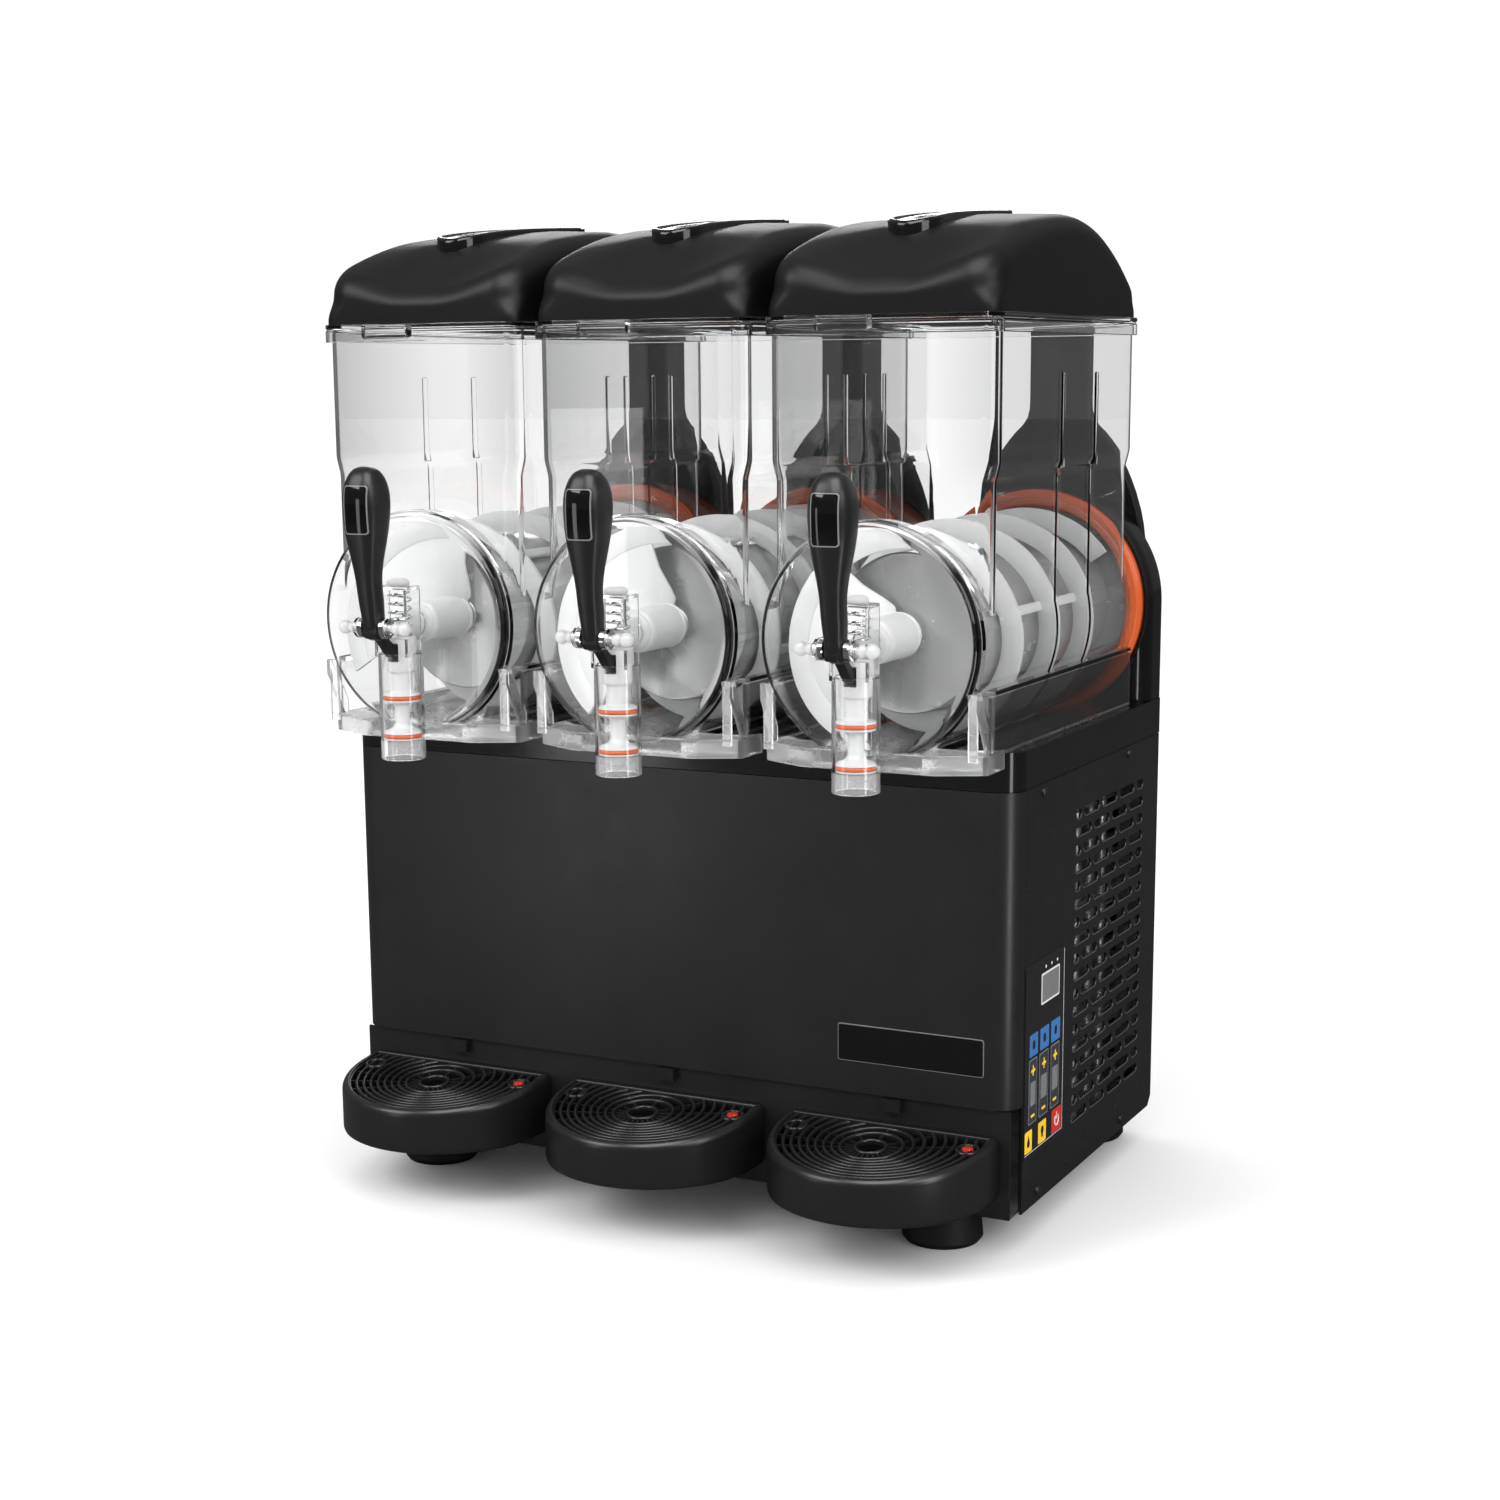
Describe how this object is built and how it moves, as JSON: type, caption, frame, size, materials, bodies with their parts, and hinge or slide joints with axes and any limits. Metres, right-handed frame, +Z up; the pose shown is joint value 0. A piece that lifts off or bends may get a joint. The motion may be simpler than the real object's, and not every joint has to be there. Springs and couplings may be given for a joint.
{
  "type": "frozen drink dispenser",
  "caption": "Countertop slush machine with clear hopper bowls on a black refrigerated cabinet, lever taps, horizontal augers and round-front drip trays.",
  "frame": {"origin": "on the floor under the middle of the machine's bounding box, plan centre", "axes": "+Z up, the taps face -Y, +X to the right seen from the front"},
  "size_m": [0.6054, 0.4919, 0.7974],
  "materials": {
    "painted_black": "satin",
    "chassis_steel": "zinc plated",
    "deck_plastic": "gloss",
    "lid_plastic": "satin",
    "handle_plastic": "satin",
    "tray_plastic": "satin",
    "clear_plastic": "clear moulded",
    "white_plastic": "satin",
    "orange_silicone": "matte",
    "red_plastic": "gloss",
    "stainless": "brushed",
    "spring_steel": "polished",
    "foot_rubber": "matte",
    "motor_grey": "satin",
    "fin_aluminium": "mill",
    "film": "printed film"
  },
  "bodies": {
    "cabinet": {"chassis": "chassis_steel", "front_panel": "painted_black", "lower_front_panel": "painted_black", "right_side_panel": "painted_black", "left_side_panel": "painted_black", "rear_panel": "painted_black", "top_deck": "deck_plastic", "motor_housing": "deck_plastic", "rear_columns": "deck_plastic", "feet": "foot_rubber", "panel_screws": "painted_black", "control_film": "film", "drain_spouts": "tray_plastic", "evaporator_drums": "stainless", "drum_seals": "orange_silicone", "gearmotors": "motor_grey", "compressor": "painted_black", "condenser": "fin_aluminium", "fan_shroud": "painted_black", "cable_gland": "tray_plastic"},
    "fan": {"fan_rotor": "fin_aluminium"},
    "bowl_1": {"bowl_1": "clear_plastic", "pivot_pin_1": "white_plastic"},
    "lid_1": {"lid_frame_1": "clear_plastic", "lid_cover_1": "lid_plastic"},
    "auger_1": {"auger_1": "white_plastic", "drive_shaft_1": "stainless"},
    "piston_1": {"tap_piston_1": "white_plastic", "piston_rings_1": "orange_silicone", "tap_spring_1": "spring_steel"},
    "handle_1": {"tap_handle_1": "handle_plastic"},
    "tray_1": {"drip_tray_1": "tray_plastic"},
    "grille_1": {"tray_grille_1": "tray_plastic"},
    "float_1": {"tray_float_1": "red_plastic"},
    "bowl_2": {"bowl_2": "clear_plastic", "pivot_pin_2": "white_plastic"},
    "lid_2": {"lid_frame_2": "clear_plastic", "lid_cover_2": "lid_plastic"},
    "auger_2": {"auger_2": "white_plastic", "drive_shaft_2": "stainless"},
    "piston_2": {"tap_piston_2": "white_plastic", "piston_rings_2": "orange_silicone", "tap_spring_2": "spring_steel"},
    "handle_2": {"tap_handle_2": "handle_plastic"},
    "tray_2": {"drip_tray_2": "tray_plastic"},
    "grille_2": {"tray_grille_2": "tray_plastic"},
    "float_2": {"tray_float_2": "red_plastic"},
    "bowl_3": {"bowl_3": "clear_plastic", "pivot_pin_3": "white_plastic"},
    "lid_3": {"lid_frame_3": "clear_plastic", "lid_cover_3": "lid_plastic"},
    "auger_3": {"auger_3": "white_plastic", "drive_shaft_3": "stainless"},
    "piston_3": {"tap_piston_3": "white_plastic", "piston_rings_3": "orange_silicone", "tap_spring_3": "spring_steel"},
    "handle_3": {"tap_handle_3": "handle_plastic"},
    "tray_3": {"drip_tray_3": "tray_plastic"},
    "grille_3": {"tray_grille_3": "tray_plastic"},
    "float_3": {"tray_float_3": "red_plastic"}
  },
  "joints": [
    {"name": "fan_spin", "type": "hinge", "parent": "cabinet", "child": "fan", "pos_m": [0.21, 0.094, 0.195], "axis": [1, 0, 0], "continuous": true},
    {"name": "bowl_1_pull_off", "type": "slide", "parent": "cabinet", "child": "bowl_1", "axis": [0, -1, 0], "range_m": [0, 0.36]},
    {"name": "lid_1_lift_off", "type": "slide", "parent": "bowl_1", "child": "lid_1", "axis": [0, 0, 1], "range_m": [0, 0.15]},
    {"name": "auger_1_spin", "type": "hinge", "parent": "cabinet", "child": "auger_1", "pos_m": [-0.2, 0, 0.474], "axis": [0, 1, 0], "continuous": true},
    {"name": "handle_1_pull", "type": "hinge", "parent": "bowl_1", "child": "handle_1", "pos_m": [-0.2, -0.223, 0.4746], "axis": [1, 0, 0], "range_deg": [0, 40]},
    {"name": "piston_1_lift", "type": "slide", "parent": "bowl_1", "child": "piston_1", "axis": [0, 0, 1], "range_m": [0, 0.022], "stiffness_N_per_m": 500, "springref_m": -0.016, "deforming": ["tap_spring_1"]},
    {"name": "tray_1_pull_off", "type": "slide", "parent": "cabinet", "child": "tray_1", "axis": [0, -1, 0], "range_m": [0, 0.13]},
    {"name": "grille_1_lift_off", "type": "slide", "parent": "tray_1", "child": "grille_1", "axis": [0, 0, 1], "range_m": [0, 0.01]},
    {"name": "float_1_rise", "type": "slide", "parent": "tray_1", "child": "float_1", "axis": [0, 0, 1], "range_m": [0, 0.02]},
    {"name": "bowl_2_pull_off", "type": "slide", "parent": "cabinet", "child": "bowl_2", "axis": [0, -1, 0], "range_m": [0, 0.36]},
    {"name": "lid_2_lift_off", "type": "slide", "parent": "bowl_2", "child": "lid_2", "axis": [0, 0, 1], "range_m": [0, 0.15]},
    {"name": "auger_2_spin", "type": "hinge", "parent": "cabinet", "child": "auger_2", "pos_m": [0, 0, 0.474], "axis": [0, 1, 0], "continuous": true},
    {"name": "handle_2_pull", "type": "hinge", "parent": "bowl_2", "child": "handle_2", "pos_m": [0, -0.223, 0.4746], "axis": [1, 0, 0], "range_deg": [0, 40]},
    {"name": "piston_2_lift", "type": "slide", "parent": "bowl_2", "child": "piston_2", "axis": [0, 0, 1], "range_m": [0, 0.022], "stiffness_N_per_m": 500, "springref_m": -0.016, "deforming": ["tap_spring_2"]},
    {"name": "tray_2_pull_off", "type": "slide", "parent": "cabinet", "child": "tray_2", "axis": [0, -1, 0], "range_m": [0, 0.13]},
    {"name": "grille_2_lift_off", "type": "slide", "parent": "tray_2", "child": "grille_2", "axis": [0, 0, 1], "range_m": [0, 0.01]},
    {"name": "float_2_rise", "type": "slide", "parent": "tray_2", "child": "float_2", "axis": [0, 0, 1], "range_m": [0, 0.02]},
    {"name": "bowl_3_pull_off", "type": "slide", "parent": "cabinet", "child": "bowl_3", "axis": [0, -1, 0], "range_m": [0, 0.36]},
    {"name": "lid_3_lift_off", "type": "slide", "parent": "bowl_3", "child": "lid_3", "axis": [0, 0, 1], "range_m": [0, 0.15]},
    {"name": "auger_3_spin", "type": "hinge", "parent": "cabinet", "child": "auger_3", "pos_m": [0.2, 0, 0.474], "axis": [0, 1, 0], "continuous": true},
    {"name": "handle_3_pull", "type": "hinge", "parent": "bowl_3", "child": "handle_3", "pos_m": [0.2, -0.223, 0.4746], "axis": [1, 0, 0], "range_deg": [0, 40]},
    {"name": "piston_3_lift", "type": "slide", "parent": "bowl_3", "child": "piston_3", "axis": [0, 0, 1], "range_m": [0, 0.022], "stiffness_N_per_m": 500, "springref_m": -0.016, "deforming": ["tap_spring_3"]},
    {"name": "tray_3_pull_off", "type": "slide", "parent": "cabinet", "child": "tray_3", "axis": [0, -1, 0], "range_m": [0, 0.13]},
    {"name": "grille_3_lift_off", "type": "slide", "parent": "tray_3", "child": "grille_3", "axis": [0, 0, 1], "range_m": [0, 0.01]},
    {"name": "float_3_rise", "type": "slide", "parent": "tray_3", "child": "float_3", "axis": [0, 0, 1], "range_m": [0, 0.02]}
  ],
  "couplings": [
    {"joint": "piston_1_lift", "follows": "handle_1_pull", "m_per_rad": 0.0311},
    {"joint": "piston_2_lift", "follows": "handle_2_pull", "m_per_rad": 0.0311},
    {"joint": "piston_3_lift", "follows": "handle_3_pull", "m_per_rad": 0.0311}
  ]
}
